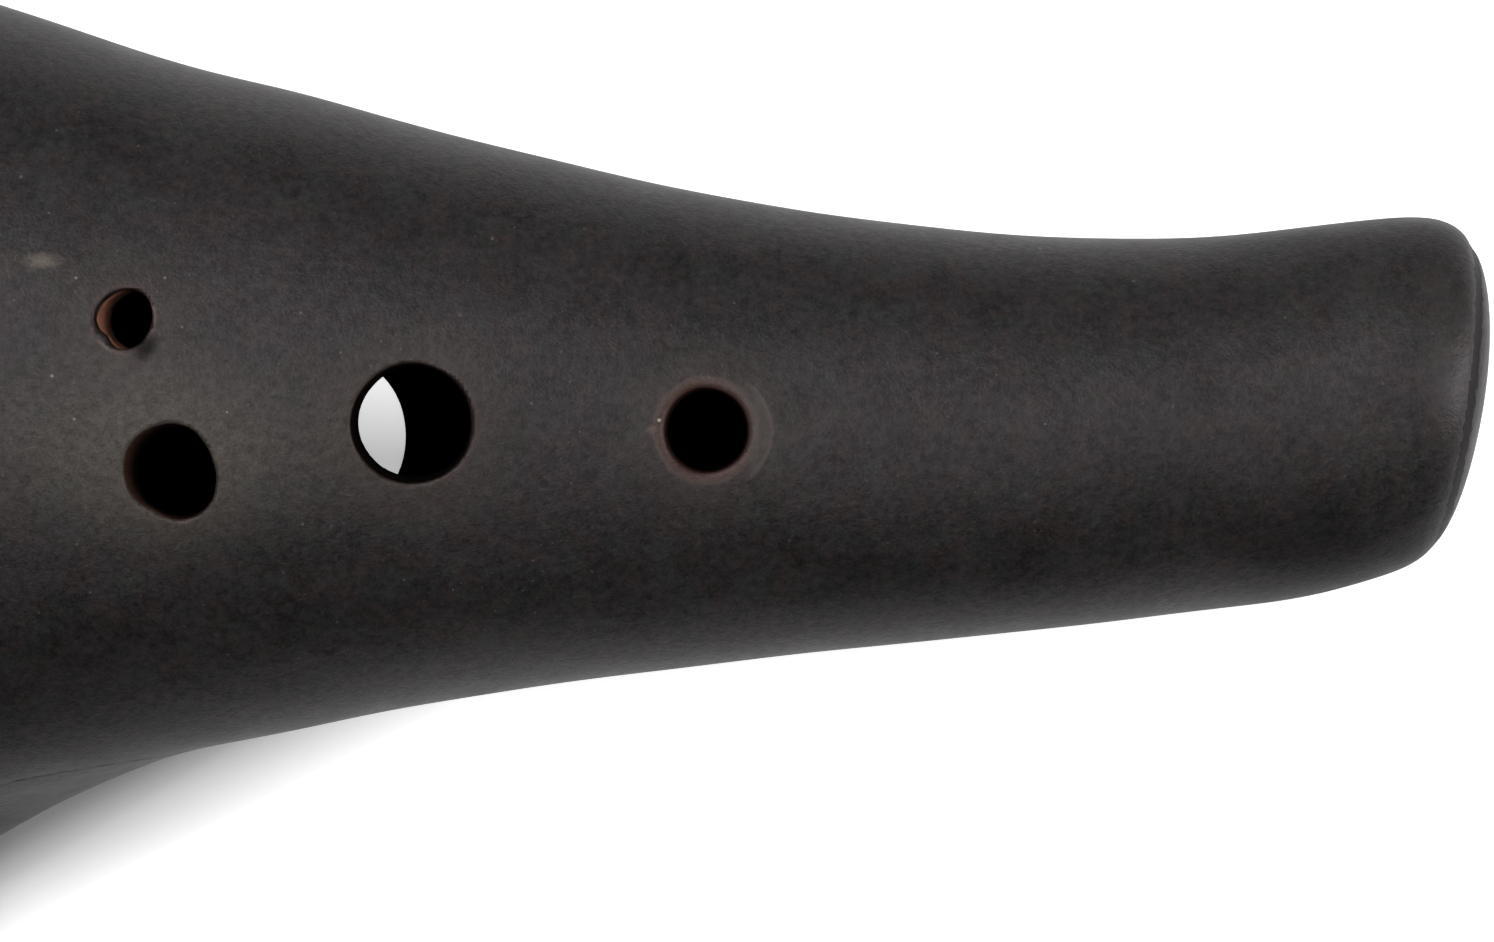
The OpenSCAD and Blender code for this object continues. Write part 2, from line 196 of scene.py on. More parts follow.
def body(x, y, z, inner=False):
    """The outer skin, or the bore when inner."""
    s, off = station(x, y)
    wall = WALL if inner else 0.0
    half, top, bottom = (np.interp(s, BODY_X, c) - wall for c in BODY_COLUMNS[1:])
    centre_slope, half_slope, top_slope, bottom_slope = (
        np.interp(s, BODY_X, c) for c in BODY_SLOPES)
    if inner:
        taper = bore_taper(s)
        half, top, bottom = half * taper, top * taper, bottom * taper
    above = z > MID_Z
    height = np.where(above, top, bottom)
    height_slope = np.where(above, top_slope, bottom_slope)
    rise = np.maximum(np.abs(z - MID_Z) - SLIP / 2, 0)
    head_length = HEAD_START - HEAD_TIP - wall
    tail_length = TAIL_TIP - TAIL_START
    into_head = np.clip((HEAD_START - s) / head_length, 0, None)
    into_tail = 0 * into_head if inner else np.clip((s - TAIL_START) / tail_length, 0, None)
    head = into_head > 0
    into = np.where(head, into_head, into_tail)
    into_slope = np.where(head, -1 / head_length, 1 / tail_length)

    # the section's ellipse, closed by a power of the way into either end
    ring = np.sqrt((off / half) ** 2 + (rise / height) ** 2) + 1e-6
    power = np.where(head, 2.0, 8.0 - 2.3 * (off / half) / ring)
    total = np.sqrt(ring**2 + into**power)

    # divided by its gradient it becomes a distance
    across = off / (half * half * ring)
    upward = rise / (height * height * ring)
    along = (-(off * off * half_slope / half**3 + rise * rise * height_slope / height**3) / ring
             - across * centre_slope)
    share = 1 / total * ring
    closing = 1 / total * (power / 2) * into ** (power - 1) * into_slope * (into > 0)
    gradient = np.sqrt(
        (share * across) ** 2 + (share * upward) ** 2 + (share * along + closing) ** 2) + 1e-4
    if inner:
        return (total - 1) / gradient
    # the joint of the tail plug was smoothed over: it is a shallow valley, lost toward -y
    crease = (0.13 * np.exp(-((s - PLUG - SLIP / 2) / 0.55) ** 2)
              * np.clip((off + 9) / 11, 0.1, 1))
    return (total - 1) / gradient + lumps(x, y, z) + crease


def hollow(x, y, z):
    return np.maximum(body(x, y, z), -body(x, y, z, True))


def loft(profile, power, x, y, z, tip=0.0):
    """Superellipse sections along y, closing over the first tip mm."""
    y0, y1, ys, columns = profile
    half, low, high = (np.interp(y, ys, c) for c in columns)
    mid, rise = (low + high) / 2, (high - low) / 2
    if tip:
        close = (1 - np.clip((y0 + tip - y) / tip, 0, 0.995) ** 2.6) ** (1 / 2.6)
        half, rise = half * (0.3 + 0.7 * close), rise * close
    across, upward = np.abs(x - MOUTH_X) / half, np.abs(z - mid) / rise
    ring = (across**power + upward**power) ** (1 / power) + 1e-6
    gx = across ** (power - 1) / half
    gz = upward ** (power - 1) / rise
    f = (ring - 1) / (np.sqrt(gx**2 + gz**2) * ring ** (1 - power) + 1e-3)
    return np.maximum(np.maximum(f, y0 - y), y - y1)


def block_loft(x, y, z):
    return loft(BLOCK_PROFILE, 3.2, x, y, z, tip=4.0)


def hole_wall(hole, x, y, z):
    """Distance outside the wall of a hole (negative in the hole)."""
    deep = np.clip(hole.top - z, 0, 7) if hole.top else 0.0
    u = x - hole.x - hole.drift_x * deep
    v = y - hole.y - hole.drift_y * deep
    d = np.hypot(u, v) + 1e-6
    angle = np.arctan2(v, u)
    radius = hole.half_x * hole.half_y / np.hypot(hole.half_y * u / d, hole.half_x * v / d)
    radius = radius - hole.narrowing * deep
    if hole.outline is not None:
        outline = np.interp(np.degrees(angle), hole.outline[:, 0], hole.outline[:, 1])
        radius = radius * (1 + (outline - 1) * np.clip(1.15 - deep / 2.5, 0, 1))
    uneven = 0.006 * np.sin(3 * angle + hole.x) + 0.004 * np.sin(5 * angle + hole.y)
    return d - radius * (1 + uneven)


def mouth_box(x, y, z, half, y0, y1, z0, z1):
    """Box centred on the mouthpiece's centre line."""
    in_x = np.maximum(MOUTH_X - half - x, x - MOUTH_X - half)
    return np.maximum(np.maximum(in_x, np.maximum(y0 - y, y - y1)), np.maximum(z0 - z, z - z1))


def pocket(x, y, z):
    """Room for the mouthpiece in the lower shell."""
    return mouth_box(x, y, z, 9, -48, EXIT_Y, -3, 12.5)


def window(x, y, z):
    """Opening between the windway's exit and the end of the labium."""
    return mouth_box(x, y, z, WINDOW_HALF, EXIT_Y, RAMP_Y, -3, 13)


def windway(x, y, z):
    bottom = ROOF_Z - 3.0 + 1.5 * np.clip((y + 74) / (EXIT_Y + 74), 0, 1)
    return np.maximum(np.abs(x - MOUTH_X) - WINDWAY_HALF, np.maximum(z - ROOF_Z, bottom - z))


def bore_at_plug(off, z, slack=0.0):
    """Size against the bore's section at the plug (1 on it), its half width and height."""
    half, top, bottom = (
        (np.interp(PLUG, BODY_X, c) - WALL) * bore_taper(PLUG) - slack for c in BODY_COLUMNS[1:])
    size = np.sqrt((off / half) ** 2 + ((z - MID_Z) / np.where(z > MID_Z, top, bottom)) ** 2)
    return size, half, top


# ---------------------------------------------------------------- the pieces' fields
def upper_shell(x, y, z):
    f = round_max(hollow(x, y, z), MID_Z + SLIP / 2 - z, 0.12)
    f = round_max(f, station(x, y)[0] - PLUG, 0.04)
    for hole in TOP_HOLES:
        f = round_max(f, -hole_wall(hole, x, y, z), hole.rim)
    return f


def lower_shell(x, y, z):
    f = round_max(hollow(x, y, z), z - MID_Z + SLIP / 2, 0.12)
    f = round_max(f, station(x, y)[0] - PLUG, 0.04)
    f = round_max(f, -z, 0.5)
    for hole in THUMB_HOLES:
        f = round_max(f, -hole_wall(hole, x, y, z), hole.rim)
    f = np.maximum(f, -pocket(x, y, z))
    return round_max(f, -window(x, y, z), 0.25)


def tail_plug(x, y, z):
    """The closed tip and the peg that reaches into the bore."""
    s, off = station(x, y)
    tip = round_max(body(x, y, z), PLUG + SLIP - s, 0.04)
    size, half, top = bore_at_plug(off, z, slack=0.3)
    ends = np.maximum(PLUG - 2.6 - s, s - PLUG - 1.5)
    return np.minimum(tip, round_max((size - 1) * min(half, top), ends, 0.3))


def tail_seam(x, y, z):
    s, off = station(x, y)
    size, _, top = bore_at_plug(off, z)
    disc = np.maximum(body(x, y, z) + 0.02, np.abs(s - PLUG - SLIP / 2) - SLIP / 2 - 0.3)
    return np.maximum(disc, (1 - size) * top)


def body_seam(x, y, z):
    f = np.maximum(body(x, y, z) + 0.03, -body(x, y, z, True))
    return np.maximum(np.maximum(f, np.abs(z - MID_Z) - SLIP / 2), station(x, y)[0] - PLUG)


def block(x, y, z):
    """The whole mouthpiece, outside the body but filling its pocket."""
    f = block_loft(x, y, z) + 0.6 * lumps(x, y, z)
    shell = np.maximum(body(x, y, z), -pocket(x, y, z))
    return np.maximum(np.maximum(f, -shell), y - EXIT_Y)


def mouthpiece_floor(x, y, z):
    f = round_max(block(x, y, z), z - ROOF_Z + SLIP - 0.1, 0.1)
    return round_max(f, -windway(x, y, z), 0.22)


def mouthpiece_roof(x, y, z):
    slot = np.maximum(np.abs(x - MOUTH_X) - WINDWAY_HALF, z - ROOF_Z)
    return round_max(round_max(block(x, y, z), ROOF_Z - z, 0.1), -slot, 0.1)


def windway_seam(x, y, z):
    layer = np.maximum(z - ROOF_Z, ROOF_Z - SLIP + 0.1 - z)
    return np.maximum(np.maximum(block(x, y, z) + 0.05, layer), -windway(x, y, z))


def fairing_skin(x, y, z):
    """Body, mouthpiece and flare run together; also the first two alone."""
    flare = loft(FLARE_PROFILE, 2.1, x, y, z)
    f = soft_min(flare, loft(CHIN_PROFILE, 2.6, x, y, z), 3.0) + 0.5 * lumps(x, y, z)
    shell, mouthpiece = body(x, y, z), block_loft(x, y, z)
    return soft_min(soft_min(f, shell, 5.0), mouthpiece, 4.0), shell, mouthpiece


def root_fairing(x, y, z):
    f, shell, mouthpiece = fairing_skin(x, y, z)
    # it is worked out thin over the shell and ends where it adds almost nothing
    thin = 6.0 * (0.03 - (np.minimum(shell, mouthpiece) - f))
    f = np.maximum(np.maximum(f, thin), np.maximum(-shell - 1.4, -mouthpiece - 0.5))
    f = np.maximum(np.maximum(f, -58 - y), 0.9 - z)
    return round_max(f, -window(x, y, z), 0.3)


LABIUM = [  # corners of its section as y, z, the sharp edge toward -y
    (EDGE_Y, 5.5), (RAMP_Y, 0.15), (RAMP_Y, 5.0), (EDGE_Y + 4.5, 7.2), (EDGE_Y, 5.75)]


def labium(x, y, z):
    f = np.abs(x - MOUTH_X) - WINDOW_HALF
    mid_y, mid_z = (sum(axis) / len(LABIUM) for axis in zip(*LABIUM))
    for i, (ya, za) in enumerate(LABIUM):
        yb, zb = LABIUM[(i + 1) % len(LABIUM)]
        length = math.hypot(zb - za, ya - yb)
        ny, nz = (zb - za) / length, (ya - yb) / length
        if (mid_y - ya) * ny + (mid_z - za) * nz > 0:
            ny, nz = -ny, -nz
        plane = (y - ya) * ny + (z - za) * nz
        if i == 0:  # the ramp is a little wavy
            plane = plane + 0.05 * np.sin(x * 1.7 + 0.4 * y)
        f = round_max(f, plane, 0.06)
    return f


# ---------------------------------------------------------------- meshing
def slope(field, points, step=0.02):
    """Field and its gradient at the points."""
    here = field(*points.T)
    ahead = [field(*(points + offset).T) for offset in np.eye(3) * step]
    return here, np.stack([(f - here) / step for f in ahead], 1)


def surface_nets(field, *axes):
    """Points, quads and normals of the zero surface on a rectilinear grid."""
    xs, ys, zs = axes
    values = np.empty([len(axis) for axis in axes], np.float32)
    for i in range(0, len(xs), 32):
        values[i:i + 32] = field(xs[i:i + 32, None, None], ys[None, :, None], zs[None, None, :])
    values[np.abs(values) < 1e-5] = 1e-5
    inside = values < 0
    nx, ny, nz = values.shape
    count = np.zeros((nx - 1, ny - 1, nz - 1), np.int8)
    for dx, dy, dz in np.ndindex(2, 2, 2):
        count += inside[dx:nx - 1 + dx, dy:ny - 1 + dy, dz:nz - 1 + dz]
    active = (count > 0) & (count < 8)
    cells = np.nonzero(active)
    index = np.full(active.shape, -1, np.int64)
    index[cells] = np.arange(len(cells[0]))

    # a cell's point is the mean of the crossings on its edges
    points = np.zeros((len(cells[0]), 3))
    crossings = np.zeros(len(points))
    for corner in np.ndindex(2, 2, 2):
        for d in range(3):
            if corner[d]:
                continue
            end = list(corner)
            end[d] = 1
            fa = values[tuple(c + p for c, p in zip(cells, corner))].astype(float)
            fb = values[tuple(c + p for c, p in zip(cells, end))].astype(float)
            crossed = (fa < 0) != (fb < 0)
            t = fa[crossed] / (fa[crossed] - fb[crossed])
            for e, axis in enumerate(axes):
                at = cells[e][crossed]
                base = axis[at + corner[e]]
                points[crossed, e] += base if e != d else base + t * (axis[at + 1] - base)
            crossings[crossed] += 1
    points /= crossings[:, None]

    # then it is pulled onto the true surface, staying near its cell
    low = np.stack([axis[c] for axis, c in zip(axes, cells)], 1)
    high = np.stack([axis[c + 1] for axis, c in zip(axes, cells)], 1)
    pad = 0.3 * (high - low)
    for _ in range(3):
        f, g = slope(field, points)
        pull = 0.8 * (f / ((g**2).sum(1) + 1e-9))[:, None] * g
        points = np.clip(points - pull, low - pad, high + pad)
    g = slope(field, points)[1]
    normals = g / np.sqrt((g**2).sum(1) + 1e-9)[:, None]

    # one quad round every grid edge that crosses the surface
    quads = []
    for d in range(3):
        u, v = (d + 1) % 3, (d + 2) % 3
        first, second = [slice(1, -1)] * 3, [slice(1, -1)] * 3
        first[d], second[d] = slice(0, -1), slice(1, None)
        a, b = inside[tuple(first)], inside[tuple(second)]
        edges = np.argwhere(a != b)
        starts_inside = a[tuple(edges.T)]
        edges[:, u] += 1
        edges[:, v] += 1
        around = []
        for du, dv in ((1, 1), (0, 1), (0, 0), (1, 0)):
            cell = edges.copy()
            cell[:, u] -= du
            cell[:, v] -= dv
            around.append(index[tuple(cell.T)])
        quad = np.stack(around, 1)
        quad[~starts_inside] = quad[~starts_inside][:, ::-1]
        quads.append(quad)
    return points, np.concatenate(quads), normals


def spaced(low, high, coarse, bands=()):
    """Grid lines from low to high, finer inside each band (start, end, step)."""
    scale = 1.0
    lines = [low]
    while lines[-1] < high:
        x, step = lines[-1], coarse * scale
        for start, end, fine in bands:
            if start - 0.5 <= x < end:
                step = min(step, fine * scale)
            elif x < start <= x + step:
                step = min(step, max(start - x, fine))
        lines.append(x + step)
    return np.array(lines) + 0.0137  # keeps the lines off round numbers


def build(name, field, grid, skin=None):
    """Mesh a field. skin is (field, reach, first station) of a surface it lies flush in."""
    points, quads, normals = surface_nets(field, *grid)
    if skin:
        # flush parts are lit like that skin, up to their thin edge
        skin_field, reach, first_station = skin
        f, g = slope(skin_field, points)
        flush = (np.abs(f) < reach) & (station(points[:, 0], points[:, 1])[0] > first_station)
        normals[flush] = (g / (np.sqrt((g**2).sum(1)) + 1e-9)[:, None])[flush]
    mesh = bpy.data.meshes.new(name)
    metres = (points - (*ORIGIN, 0)) / 1000
    mesh.vertices.add(len(metres))
    mesh.vertices.foreach_set("co", metres.ravel().astype(np.float32))
    mesh.loops.add(quads.size)
    mesh.loops.foreach_set("vertex_index", quads.ravel().astype(np.int32))
    mesh.polygons.add(len(quads))
    mesh.polygons.foreach_set("loop_start", np.arange(0, quads.size, 4, dtype=np.int32))
    mesh.update(calc_edges=True)
    mesh.validate()
    mesh.shade_smooth()
    mesh.normals_split_custom_set_from_vertices(normals.tolist())
    depth = mesh.attributes.new("depth", "FLOAT", "POINT")
    depth.data.foreach_set("value", (-body(*points.T)).astype(np.float32))
    piece = bpy.data.objects.new(name, mesh)
    bpy.context.scene.collection.objects.link(piece)
    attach(piece, "root")
    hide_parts(name.rsplit("_", 1)[0])
    return piece


def hole_bands(holes, margin, step):
    return [(h.x - h.half_x - margin, h.x + h.half_x + margin, step) for h in holes]


TOP_BANDS = (hole_bands([h for h in TOP_HOLES if h.x > 0], 1.2, 0.30)
             + hole_bands([h for h in TOP_HOLES if h.x < 0], 1.3, 0.5))
UPPER_GRID = (
    spaced(-94, 124, 0.85, TOP_BANDS + [(119.5, 124, 0.3)]),
    spaced(-38.5, 41, 0.8, [(-10, 10.5, 0.30), (-14.5, 21.5, 0.5)]),
    spaced(21, 48.5, 0.6, [(21, 23, 0.35), (36, 44.5, 0.38)]))
LOWER_GRID = (
    spaced(-94, 124, 0.85, [
        (-60.5, -45.5, 0.5), (-38, -18, 0.5), (15.5, 32.5, 0.5), (119.5, 124, 0.35)]),
    spaced(-38.5, 41, 0.8, [(-30, 15, 0.5)]),
    spaced(-1, 23, 0.6, [(-1, 1.5, 0.35), (21, 23, 0.35)]))
TAIL_YZ = (spaced(-13.5, 17.5, 0.4), spaced(8, 36, 0.4))
SEAM_GRID = (spaced(-94, 125, 0.7), spaced(-38.5, 41, 0.7), np.linspace(21.55, 22.45, 10))
MOUTH_XY = (spaced(-47, -9, 0.42), spaced(-78, -25, 0.42))
WINDWAY_GRID = (spaced(-47, -9, 0.4), spaced(-78, -25, 0.4), np.linspace(5.85, 6.55, 9))
FAIRING_GRID = (spaced(-76, 24, 0.42), spaced(-60, -8, 0.42), spaced(0.3, 36, 0.42))
LABIUM_GRID = (spaced(-36, -20, 0.3), spaced(-22.5, -10, 0.2), spaced(-0.6, 8, 0.16))
BODY_SKIN = (body, 0.2, PLUG - 1.0)
FAIRING_SKIN = (lambda x, y, z: fairing_skin(x, y, z)[0], 0.12, -np.inf)

PIECES = [
    ("upper_shell_clay", upper_shell, UPPER_GRID, BODY_SKIN),
    ("lower_shell_clay", lower_shell, LOWER_GRID, BODY_SKIN),
    ("tail_plug_clay", tail_plug, (spaced(118, 126, 0.22), *TAIL_YZ), BODY_SKIN),
    ("tail_seam_slip", tail_seam, (spaced(119.5, 124.5, 0.14), *TAIL_YZ), BODY_SKIN),
    ("body_seam_slip", body_seam, SEAM_GRID, None),
    ("mouthpiece_floor_clay", mouthpiece_floor, (*MOUTH_XY, spaced(0.5, 7, 0.3)), None),
    ("mouthpiece_roof_clay", mouthpiece_roof, (*MOUTH_XY, spaced(5.5, 19, 0.4)), None),
    ("windway_seam_slip", windway_seam, WINDWAY_GRID, None),
    ("root_fairing_clay", root_fairing, FAIRING_GRID, FAIRING_SKIN),
    ("labium_clay", labium, LABIUM_GRID, None)]
pieces = {piece[0]: build(*piece) for piece in PIECES}


# ---------------------------------------------------------------- shader trees
class Tree:
    """Short ways to add nodes to a material or world."""

    def __init__(self, owner):
        self.owner = owner
        owner.use_nodes = True
        self.tree = owner.node_tree
        self.tree.nodes.clear()

    def node(self, kind, inputs=None, **properties):
        node = self.tree.nodes.new(kind)
        for key, value in properties.items():
            setattr(node, key, value)
        for key, value in (inputs or {}).items():
            if isinstance(value, bpy.types.NodeSocket):
                self.tree.links.new(value, node.inputs[key])
            else:
                node.inputs[key].default_value = value
        return node

    def math(self, operation, *values, clamp=False):
        inputs = dict(enumerate(values))
        return self.node("ShaderNodeMath", inputs, operation=operation, use_clamp=clamp).outputs[0]

    def mul(self, a, b):
        return self.math("MULTIPLY", a, b)

    def add(self, a, b):
        return self.math("ADD", a, b)

    def max(self, a, b):
        return self.math("MAXIMUM", a, b)

    def sub(self, a, b, clamp=False):
        return self.math("SUBTRACT", a, b, clamp=clamp)

    def ramp(self, value, over, to=(0.0, 1.0), smooth=True):
        return self.node("ShaderNodeMapRange", {
            "Value": value, "From Min": over[0], "From Max": over[1],
            "To Min": to[0], "To Max": to[1],
        }, interpolation_type="SMOOTHSTEP" if smooth else "LINEAR").outputs[0]

    def fade(self, value, over):
        return self.ramp(value, over, to=(1.0, 0.0))

    def mix(self, base, mask, color, strength=None):
        """Lay color over base where mask, times strength, says so."""
        if strength is not None:
            mask = self.mul(mask, strength)
        a, b = ((*c, 1) if isinstance(c, tuple) else c for c in (base, color))
        return self.node("ShaderNodeMix", {0: mask, 6: a, 7: b},
                         data_type="RGBA", blend_type="MIX").outputs[2]

    def vector(self, operation, inputs):
        return self.node("ShaderNodeVectorMath", inputs, operation=operation).outputs

    def scale(self, vector, factor):
        return self.vector("SCALE", {0: vector, "Scale": factor})[0]

    def coordinates(self):
        return self.node("ShaderNodeTexCoord").outputs["Object"]

    def split(self, vector):
        return self.node("ShaderNodeSeparateXYZ", {0: vector}).outputs


class Clay(Tree):
    """A material tree with body millimetres as its coordinates."""

    def __init__(self, name):
        super().__init__(bpy.data.materials.new(name))
        self.point = self.vector("MULTIPLY_ADD", {
            0: self.coordinates(), 1: (1000, 1000, 1000), 2: (*ORIGIN, 0)})[0]

    def noise(self, scale, detail, rough, squeeze=None):
        point = self.scale(self.point, squeeze) if squeeze else self.point
        return self.node("ShaderNodeTexNoise", {
            "Vector": point, "Scale": scale, "Detail": detail, "Roughness": rough}).outputs["Fac"]

    def swing(self, noise, size):
        """A noise centred on zero."""
        return self.mul(self.sub(noise, 0.5), size)

    def off_center(self, x, y, kx=1.0, ky=1.0):
        """Distance from the upright line at x, y, counted kx and ky times along each axis."""
        offset = self.vector("MULTIPLY_ADD", {
            0: self.point, 1: (kx, ky, 0), 2: (-x * kx, -y * ky, 0)})[0]
        return self.vector("LENGTH", {0: offset})["Value"]

    def grit(self, cells, radius, share, shift):
        """Specks of differing size in a share of the cells, of which there are cells per mm."""
        moved = self.vector("MULTIPLY_ADD", {
            0: self.point, 1: (cells, cells, cells), 2: (shift, shift * 1.7, shift * 0.3)})[0]
        cell = self.node("ShaderNodeTexVoronoi", {"Vector": moved, "Scale": 1.0}, feature="F1")
        pick = self.node("ShaderNodeSeparateColor", {0: cell.outputs["Color"]}).outputs
        growth = self.ramp(pick[0], over=(1 - share, 1.0), to=(0.25, 1.0), smooth=False)
        here = self.math("LESS_THAN", cell.outputs["Distance"], self.mul(growth, radius * cells))
        chosen = self.math("GREATER_THAN", pick[0], 1 - share)
        paleness = self.ramp(pick[1], over=(0, 1), to=(0.35, 1.0), smooth=False)
        return self.mul(here, self.mul(chosen, paleness))

    def finish(self, color, rough, height, spec):
        bump = self.node("ShaderNodeBump", {"Distance": 0.001, "Strength": 0.5, "Height": height})
        shader = self.node("ShaderNodeBsdfPrincipled", {
            "Base Color": color, "Roughness": rough, "Specular IOR Level": spec,
            "Specular Tint": (1.0, 0.90, 0.925, 1), "Normal": bump.outputs[0]})
        self.node("ShaderNodeOutputMaterial", {"Surface": shader.outputs[0]})
        return self.owner


class SmokedClay(Clay):
    """Clay with the noises that its colour, shine and bumps share, coarse to fine."""

    def __init__(self, name):
        super().__init__(name)
        self.x, self.y, self.z = self.split(self.point)
        self.mid = self.noise(scale=0.26, detail=3, rough=0.6)
        self.small = self.noise(scale=1.35, detail=3, rough=0.62)
        self.fine = self.noise(scale=3.6, detail=2, rough=0.6)
        self.sand = self.noise(scale=8.5, detail=1, rough=0.5)


# ---------------------------------------------------------------- smoked clay
def smoke_color(T):
    """Neutral patches, some cooler, against warmer ones; also the grain that shades them."""
    tint = T.noise(scale=0.34, detail=3, rough=0.65, squeeze=1.31)
    col = T.mix((0.0094, 0.0093, 0.0097), T.ramp(tint, over=(0.33, 0.67)),
                (0.0130, 0.0092, 0.0091))
    cool = T.noise(scale=0.42, detail=3, rough=0.6, squeeze=0.77)
    col = T.mix(col, T.ramp(cool, over=(0.50, 0.66)), (0.0088, 0.0108, 0.0096), strength=0.85)
    big = T.noise(scale=0.045, detail=2, rough=0.5)
    shade = T.add(T.ramp(big, over=(0.3, 0.7), to=(0.90, 1.10)),
                  T.ramp(T.mid, over=(0.3, 0.7), to=(-0.10, 0.10)))
    for noise, over, swing in ((T.small, (0.25, 0.75), 0.50), (T.fine, (0.2, 0.8), 0.60),
                               (T.sand, (0.2, 0.8), 0.55)):
        shade = T.add(shade, T.ramp(noise, over, to=(-swing, swing), smooth=False))
    grain = T.add(T.mul(T.sub(shade, 1.0), 0.7), 1.0)
    return T.scale(col, shade), grain


def add_grit(T, col):
    """Grit of the clay body showing through the burnish: small pale, large pale, reddish."""
    patches = T.ramp(T.noise(scale=0.12, detail=2, rough=0.5), over=(0.38, 0.62), to=(0.35, 1.0))
    where = T.mul(patches, T.ramp(T.x, over=(40.0, 75.0), to=(1.0, 0.6)))
    small = T.mul(T.grit(cells=1.25, radius=0.125, share=0.60, shift=3.1), where)
    col = T.mix(col, small, (0.115, 0.100, 0.092), strength=0.46)
    large = T.grit(cells=0.40, radius=0.16, share=0.50, shift=8.4)
    col = T.mix(col, large, (0.16, 0.14, 0.125), strength=0.42)
    red = T.grit(cells=0.75, radius=0.13, share=0.16, shift=5.7)
    return T.mix(col, red, (0.080, 0.034, 0.026), strength=0.40)


def paint_shade_and_highlights(T, col, spec, grain):
    """Painted shade on the -y flank and on the tail's corners, and a painted highlight and a paler
    painted band on the tail.
    """
    # painted shade: the -y flank toward the head is darker and less shiny
    painted_flank_shade = T.mul(T.ramp(T.y, over=(-17.0, -27.0), to=(0.0, 0.38)), T.ramp(T.x, over=(34.0, 8.0)))
    # painted shade on the tail's corners, stronger toward -y
    corner = T.mul(T.ramp(T.x, over=(98.0, 112.0)),
                   T.ramp(T.y, over=(-7.5, -12.0), to=(0.0, 0.52)))
    corner = T.max(corner, T.mul(T.ramp(T.x, over=(92.0, 104.0)),
                                 T.ramp(T.y, over=(11.5, 14.5), to=(0.0, 0.30))))
    keep = T.sub(1.0, T.max(painted_flank_shade, corner))
    # painted highlight on the tail beside the plug joint: paler colour and more shine
    d = T.add(T.off_center(119.9, 3.4, kx=1.0, ky=0.30), T.swing(T.small, 1.2))
    painted_tail_highlight = T.mul(T.fade(d, over=(0.1, 3.7)), T.ramp(T.z, over=(26.0, 31.0)))
    col = T.mix(T.scale(col, keep), painted_tail_highlight, (0.060, 0.056, 0.055), strength=0.22)
    # painted light: a broad paler band across the tail
    band = T.mul(T.fade(T.off_center(115.5, 1.5, kx=1.0, ky=0.46), over=(2.0, 7.5)),
                 T.ramp(T.off_center(116.0, 3.5, kx=0.9, ky=0.75), over=(2.0, 6.5)))
    col = T.mix(col, band, T.scale((0.058, 0.055, 0.053), grain), strength=0.13)
    return col, T.mul(spec, T.add(keep, T.mul(painted_tail_highlight, 0.55)))


def mark_hole(T, col, hole, depth, wobble):
    """Halo, rim and wall of a hole, with painted shade on the wall and a painted highlight on red
    holes' rims; also the mask of its wall.
    """
    x, y, red = hole.x, hole.y, hole.red > 0.5
    grown = 0.16 if hole.brown == 1.0 else 0.0
    rx, ry = hole.half_x + grown, hole.half_y + grown
    r = (rx + ry) / 2
    e = T.sub(T.off_center(x, y, kx=r / rx, ky=r / ry), r)
    uneven = T.add(e, wobble)
    col = T.mix(col, T.fade(uneven, over=(0.3, 5.0)), (0.046, 0.037, 0.026), strength=0.21)
    if hole.brown > 0.5:
        pale = T.mul(T.ramp(uneven, over=(0.45, 0.68)), T.fade(uneven, over=(0.80, 1.15)))
        col = T.mix(col, pale, (0.064, 0.053, 0.047), strength=0.42 * hole.brown)
    ring = T.mul(T.fade(e, over=(0.32 + 0.35 * hole.brown, 0.52 + 0.38 * hole.brown)),
                 T.ramp(T.fine, over=(0.2, 0.6), to=(0.6, 1.0)))
    col = T.mix(col, ring, (0.052, 0.026, 0.021), strength=0.08 + 0.62 * hole.brown)
    if red:
        # a dark line just inside the rim, on the head side
        line = T.mul(T.fade(e, over=(-0.05, 0.28)),
                     T.fade(T.x, over=(x - 0.3 * rx, x + 0.1 * rx)))
        col = T.mix(col, line, (0.0030, 0.0022, 0.0020), strength=0.85)
        # and a painted highlight on the rim toward the tail and toward -y
        lip = T.mul(T.ramp(e, over=(0.06, 0.18)), T.fade(e, over=(0.28, 0.48)))
        tail_side = T.mul(T.ramp(T.x, over=(x + 0.60 * rx, x + 0.85 * rx)),
                          T.ramp(T.y, over=(y - 0.25 * ry, y)))
        near_side = T.mul(T.fade(T.y, over=(y - 0.80 * ry, y - 0.60 * ry)),
                          T.fade(T.x, over=(x - 0.1 * rx, x + 0.15 * rx)))
        col = T.mix(col, T.mul(lip, T.max(tail_side, near_side)), (0.095, 0.066, 0.060),
                    strength=0.55)
    inside = T.mul(T.ramp(depth, over=(0.80, 1.10) if red else (0.10, 0.40)),
                   T.fade(e, over=(0.25, 0.6)))
    a = 0.004 + 0.24 * hole.red
    mottle = T.ramp(T.noise(scale=1.1, detail=3, rough=0.6), over=(0.3, 0.7))
    tone = T.mix((a, a * 0.42, a * 0.27), mottle, (a * 1.5, a * 0.66, a * 0.44))
    # painted shade on the wall: darker with depth and toward the tail
    deeper = T.ramp(depth, over=(1.0 if red else 0.3, 4.4), to=(1.0, 0.35 if red else 0.0))
    tailward = T.ramp(T.x, over=(x - 0.45 * rx, x + 0.15 * rx), to=(1.0, 0.12 if red else 0.45))
    return T.mix(col, inside, T.scale(tone, T.mul(deeper, tailward))), inside


# single pale grains of the clay on the face: x, y, radius, how pale
SPECKS = [
    (54.92, -0.9, 0.19, 1.0), (8.67, 10.34, 0.16, 0.55), (15.57, 10.4, 0.15, 0.45),
    (20.63, -0.31, 0.16, 0.4), (7.02, 2.52, 0.17, 0.5), (8.73, -0.88, 0.15, 0.4),
    (17.03, 6.46, 0.15, 0.3)]


